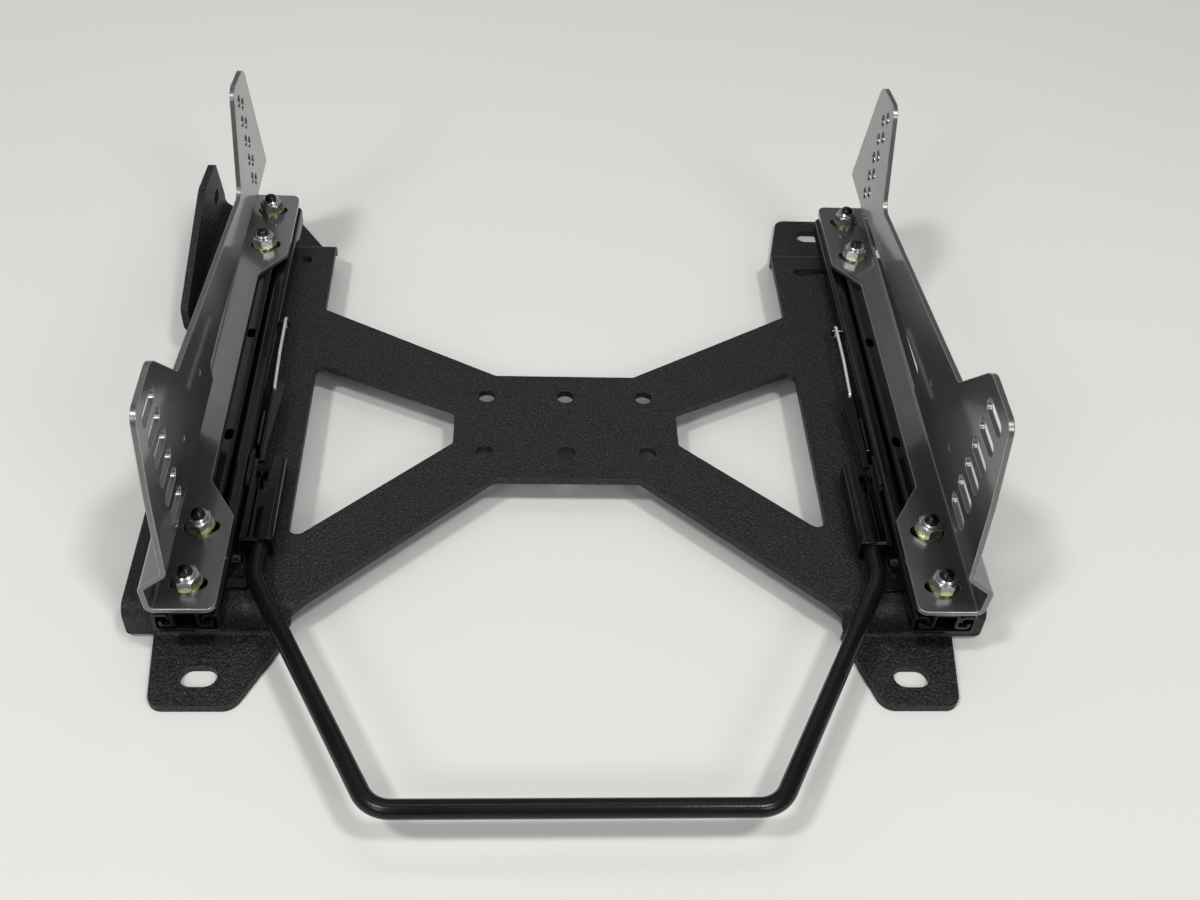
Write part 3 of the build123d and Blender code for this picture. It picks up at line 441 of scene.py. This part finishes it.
@dataclass
class Wardrobe:
    """All the finishes, and the dressing of the CAD nodes by their slots."""

    made: Dict[str, bpy.types.Material] = field(default_factory=dict)

    def finishes(self) -> Dict[str, object]:
        """Finish of each of the record's material slots."""
        return {
            "plate_black": WrinkleCoat(),
            "rail_black": GlossPaint(
                "rail_paint", low=(0.0028, 0.0032, 0.0032), high=(0.0050, 0.0054, 0.0054),
                # the rail's rims get a dim painted highlight
                edge=(0.012, 0.012, 0.0125), rough_low=0.07, rough_high=0.15,
                peel=0.06, peel_scale=150.0, shine=0.32),
            "lever_black": GlossPaint(
                "lever_paint", low=(0.0014, 0.0016, 0.0016), high=(0.0026, 0.0028, 0.0028),
                # the lever's rims get a strong painted highlight, standing in for the shine of its rounded
                # edges
                edge=(0.085, 0.085, 0.087), rough_low=0.08, rough_high=0.15, peel=0.16, shine=0.34),
            "bar_black": GlossPaint(
                "bar_paint", low=(0.0025, 0.0027, 0.0026), high=(0.0050, 0.0053, 0.0050),
                rough_low=0.20, rough_high=0.28, peel=0.14, peel_scale=420.0, shine=0.28),
            "mount_grey": ClearCoatedSteel(),
            "stud_black": GlossPaint(
                "stud_oxide", low=(0.002, 0.002, 0.002), high=(0.004, 0.004, 0.004),
                rough_low=0.10, rough_high=0.16, peel=0.06, peel_scale=500.0),
            "zinc_yellow": PlatedMetal("yellow_zinc", (0.38, 0.37, 0.17), (0.52, 0.51, 0.29), 0.24, 0.36),
            "zinc_bright": PlatedMetal("bright_zinc", (0.48, 0.49, 0.50), (0.66, 0.67, 0.68), 0.16, 0.30),
            "nylon": Moulded("nylon", (0.030, 0.030, 0.033)),
            "cage_steel": PlatedMetal("cage_strip", (0.24, 0.24, 0.25), (0.36, 0.36, 0.37), 0.25, 0.40),
            "ball_steel": PlatedMetal(
                "bearing_steel", (0.52, 0.52, 0.53), (0.60, 0.60, 0.61), 0.06, 0.12, depth=0.03),
            "wire_steel": PlatedMetal(
                "spring_wire", (0.66, 0.66, 0.66), (0.80, 0.80, 0.79), 0.14, 0.24, depth=0.05, metallic=0.45),
        }

    def fill(self) -> None:
        """Build every finish once."""
        for slot, finish in self.finishes().items():
            self.made[slot] = finish.build()

    def dress_nodes(self) -> None:
        """Give each CAD node the finish of its slot."""
        for row in frame["record"]["subparts"]:
            node = frame["nodes"][row["node"]]
            material = self.made[row["material_slot"]]
            if not node.material_slots:
                node.data.materials.append(material)
            for slot in node.material_slots:
                slot.material = material

    def dress(self, piece: bpy.types.Object, slot: str) -> None:
        """Give a new piece a slot's finish.

        Args:
            piece: the piece.
            slot: name of the record's slot.
        """
        piece.data.materials.clear()
        piece.data.materials.append(self.made[slot])


class Bench:
    """Modelling by hand with Blender's operators."""

    @staticmethod
    def clear() -> None:
        """Deselect everything."""
        if bpy.context.object and bpy.context.object.mode != "OBJECT":
            bpy.ops.object.mode_set(mode="OBJECT")
        for o in bpy.context.view_layer.objects:
            o.select_set(False)

    @staticmethod
    def pick(piece: bpy.types.Object, test: Callable[[bmesh.types.BMFace], bool]) -> None:
        """Select faces in edit mode by a test on each.

        Args:
            piece: object in edit mode.
            test: which faces are wanted.
        """
        bpy.ops.mesh.select_all(action="DESELECT")
        bpy.ops.mesh.select_mode(type="FACE")
        mesh = bmesh.from_edit_mesh(piece.data)
        for face in mesh.faces:
            face.select = test(face)
        mesh.select_flush_mode()
        bmesh.update_edit_mesh(piece.data)

    @staticmethod
    def settle(piece: bpy.types.Object, name: str, angle: float = 40.0) -> bpy.types.Object:
        """Apply the place of a piece, smooth it and name it.

        Args:
            piece: the piece.
            name: its name.
            angle: edges sharper than this stay sharp.

        Returns:
            The piece.
        """
        Bench.clear()
        piece.name = name
        piece.data.name = name
        piece.select_set(True)
        bpy.context.view_layer.objects.active = piece
        bpy.ops.object.transform_apply(location=True, rotation=True, scale=True)
        bpy.ops.object.shade_smooth_by_angle(angle=math.radians(angle))
        Bench.clear()
        return piece

    @staticmethod
    def copy_to(piece: bpy.types.Object, name: str, move: Point, flip_x: bool = False) -> bpy.types.Object:
        """Copy a piece with its own mesh.

        Args:
            piece: the piece to copy.
            name: name of the copy.
            move: shift of the copy in metres.
            flip_x: mirror about X = 0 after the shift.

        Returns:
            The copy.
        """
        twin = bpy.data.objects.new(name, piece.data.copy())
        twin.data.name = name
        bpy.context.collection.objects.link(twin)
        twin.data.transform(Matrix.Translation(Vector(move)))
        if flip_x:
            twin.data.transform(Matrix.Scale(-1.0, 4, (1.0, 0.0, 0.0)))
            twin.data.flip_normals()
        return twin


@dataclass
class StudEnds:
    """Domed, threaded ends of the press-in studs, above the lock nuts."""

    radius: float = 3.98 * MM
    thread: float = 0.28 * MM
    pitch: float = 1.25 * MM
    low: float = 29.2 * MM
    root: float = 0.4 * MM
    turns: int = 2
    dome: float = 1.5 * MM
    dome_steps: int = 6
    dome_tip: float = 0.10
    sides: int = 40
    places: Tuple[float, ...] = (-145.3 * MM, -105.2 * MM, 151.0 * MM, 190.5 * MM)

    def model(self) -> bpy.types.Object:
        """Model one end at the origin of X and Y, at its real height.

        Returns:
            The modelled end.
        """
        Bench.clear()
        bpy.ops.mesh.primitive_cylinder_add(vertices=self.sides, radius=self.radius - self.thread,
                                            depth=self.root, location=(0.0, 0.0, self.low + self.root / 2))
        piece = bpy.context.object
        bpy.ops.object.mode_set(mode="EDIT")
        up: Callable[[bmesh.types.BMFace], bool] = lambda f: f.normal.z > 0.9
        Bench.pick(piece, up)
        wide = self.radius / (self.radius - self.thread)
        for _ in range(self.turns):
            for scale in (wide, 1.0 / wide):
                bpy.ops.mesh.extrude_region_move(TRANSFORM_OT_translate={"value": (0, 0, self.pitch / 2)})
                bpy.ops.transform.resize(value=(scale, scale, 1.0))
        for step in range(self.dome_steps):
            before = math.radians(90.0 / self.dome_steps * step)
            angle = math.radians(90.0 / self.dome_steps * (step + 1))
            rise = self.dome * (math.sin(angle) - math.sin(before))
            shrink = max(math.cos(angle), self.dome_tip) / math.cos(before)
            bpy.ops.mesh.extrude_region_move(TRANSFORM_OT_translate={"value": (0, 0, rise)})
            bpy.ops.transform.resize(value=(shrink, shrink, 1.0))
        bpy.ops.object.mode_set(mode="OBJECT")
        return Bench.settle(piece, "stud_end", 50.0)

    def fit(self, wardrobe: Wardrobe) -> None:
        """Put an end on each stud, where the CAD studs stand.

        Args:
            wardrobe: the finishes.
        """
        pattern = self.model()
        for side in Side:
            low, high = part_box(side.word + "_mount_studs")
            middle = (low[0] + high[0]) / 2
            for number, y in enumerate(self.places):
                twin = Bench.copy_to(pattern, f"{side.word}_stud_end_{number}", (middle, y, 0.0))
                wardrobe.dress(twin, "stud_black")
                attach(twin, side.word + "_carriage")
                log.info("stud end %s", twin.name)
        bpy.data.objects.remove(pattern)


@dataclass
class WeldBeads:
    """Rippled weld along the top of each latch bracket."""

    ripple: float = 1.9 * MM
    step: float = 1.7 * MM
    count: int = 11
    height: float = 14.7 * MM
    inboard: float = 185.2 * MM
    front: float = -62.0 * MM
    waver: float = 0.10
    flatten: Point = (0.85, 0.72, 0.62)
    lean: float = 28.0
    voxel: float = 0.22 * MM

    def model(self) -> bpy.types.Object:
        """Model the right-hand bead from overlapping ripples.

        Returns:
            The bead.
        """
        ripples: List[bpy.types.Object] = []
        for number in range(self.count):
            Bench.clear()
            size = self.ripple * (1.0 + self.waver * math.sin(2.1 * number))
            spot = (self.inboard, self.front + self.step * number, self.height)
            bpy.ops.mesh.primitive_uv_sphere_add(segments=20, ring_count=12, radius=size, location=spot)
            drop = bpy.context.object
            bpy.ops.object.mode_set(mode="EDIT")
            bpy.ops.mesh.select_all(action="SELECT")
            bpy.ops.transform.resize(value=self.flatten)
            bpy.ops.transform.rotate(value=math.radians(self.lean), orient_axis="Y", center_override=spot)
            bpy.ops.object.mode_set(mode="OBJECT")
            ripples.append(drop)
        Bench.clear()
        for drop in ripples:
            drop.select_set(True)
        bpy.context.view_layer.objects.active = ripples[0]
        bpy.ops.object.join()
        bead = bpy.context.object
        remesh = bead.modifiers.new("melt", "REMESH")
        remesh.mode = "VOXEL"
        remesh.voxel_size = self.voxel
        bpy.ops.object.modifier_apply(modifier=remesh.name)
        smooth = bead.modifiers.new("soften", "SMOOTH")
        smooth.factor = 0.5
        smooth.iterations = 3
        bpy.ops.object.modifier_apply(modifier=smooth.name)
        return Bench.settle(bead, "right_bracket_weld", 180.0)

    def fit(self, wardrobe: Wardrobe) -> None:
        """Lay a bead on each side's bracket.

        Args:
            wardrobe: the finishes.
        """
        right = self.model()
        left = Bench.copy_to(right, "left_bracket_weld", (0.0, 0.0, 0.0), flip_x=True)
        for bead in (left, right):
            wardrobe.dress(bead, "lever_black")
            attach(bead, "base")
            log.info("weld bead %s", bead.name)


@dataclass
class Studio:
    """Floor, lamps, world and camera."""

    floor_z: float = -25.0 * MM
    floor_tone: Colour = (0.80, 0.80, 0.775)
    eye: Point = (-0.0306, -0.6065, 0.5928)
    ahead: Point = (0.06142, 0.70059, -0.71092)
    right: Point = (0.99805, -0.03523, 0.05151)
    above: Point = (-0.01105, 0.71269, 0.70139)
    focal_px: float = 1355.0
    width_px: float = 1200.0
    sensor: float = 36.0
    world_tone: Colour = (0.98, 1.0, 0.98)
    world_strength: float = 0.23
    lamps: Tuple[Tuple[str, Point, Tuple[float, float], float], ...] = (
        ("key_right", (0.75, -0.85, 2.4), (0.28, 0.28), 20.0),
        ("key_left", (-1.00, -0.85, 2.4), (0.28, 0.28), 21.5),
        ("front_right", (1.4, -2.3, 2.1), (0.8, 0.8), 15.5),
        ("front_left", (-1.5, -2.3, 2.1), (0.8, 0.8), 16.0),
        ("over_rear", (0.0, 0.60, 2.7), (1.2, 0.6), 5.0),
        ("rear_right", (0.45, 2.05, 2.4), (0.7, 0.7), 1.2),
        ("rear_left", (-1.0, 3.0, 2.4), (1.6, 1.2), 3.0),
    )

    def set_floor(self) -> None:
        """Lay the pale table top."""
        Bench.clear()
        bpy.ops.mesh.primitive_plane_add(size=9.0, location=(0.0, 0.0, self.floor_z))
        floor = bpy.context.object
        floor.name = "table"
        t = Tree("table_top")
        cloud = t.noise(1.6, 2.0)
        tone = t.mix(t.ramp(cloud, 0.3, 0.7), self.floor_tone, tuple(c * 0.97 for c in self.floor_tone))
        floor.data.materials.append(t.finish(tone, 0.6, Specular_IOR_Level=0.25))

    def set_lamps(self) -> None:
        """Hang the two keys, the front pair and the rear panels, and fill the room with soft light."""
        world = bpy.data.worlds.new("room")
        bpy.context.scene.world = world
        world.use_nodes = True
        background = world.node_tree.nodes["Background"]
        background.inputs["Color"].default_value = (*self.world_tone, 1.0)
        background.inputs["Strength"].default_value = self.world_strength
        for name, spot, size, power in self.lamps:
            lamp = bpy.data.lights.new(name, "AREA")
            lamp.shape = "RECTANGLE"
            lamp.size, lamp.size_y = size
            lamp.energy = power
            holder = bpy.data.objects.new(name, lamp)
            bpy.context.collection.objects.link(holder)
            holder.location = spot
            holder.rotation_euler = (-Vector(spot)).to_track_quat("-Z", "Y").to_euler()

    def set_camera(self) -> None:
        """Stand the camera where the photograph was taken."""
        lens = bpy.data.cameras.new("camera")
        lens.sensor_width = self.sensor
        lens.lens = self.focal_px * self.sensor / self.width_px
        lens.clip_start = 0.01
        camera = bpy.data.objects.new("camera", lens)
        bpy.context.collection.objects.link(camera)
        back = -Vector(self.ahead)
        columns = (Vector(self.right), Vector(self.above), back)
        turn = Matrix([[c[row] for c in columns] for row in range(3)]).to_4x4()
        camera.matrix_world = Matrix.Translation(Vector(self.eye)) @ turn
        bpy.context.scene.camera = camera

    def build(self) -> None:
        """Set the whole scene round the object."""
        self.set_floor()
        self.set_lamps()
        self.set_camera()
        bpy.context.scene.view_settings.view_transform = "Standard"


def main() -> None:
    """Build the looks in order."""
    Studio().build()
    wardrobe = Wardrobe()
    wardrobe.fill()
    wardrobe.dress_nodes()
    StudEnds().fit(wardrobe)
    WeldBeads().fit(wardrobe)


if __name__ == "__main__":
    main()
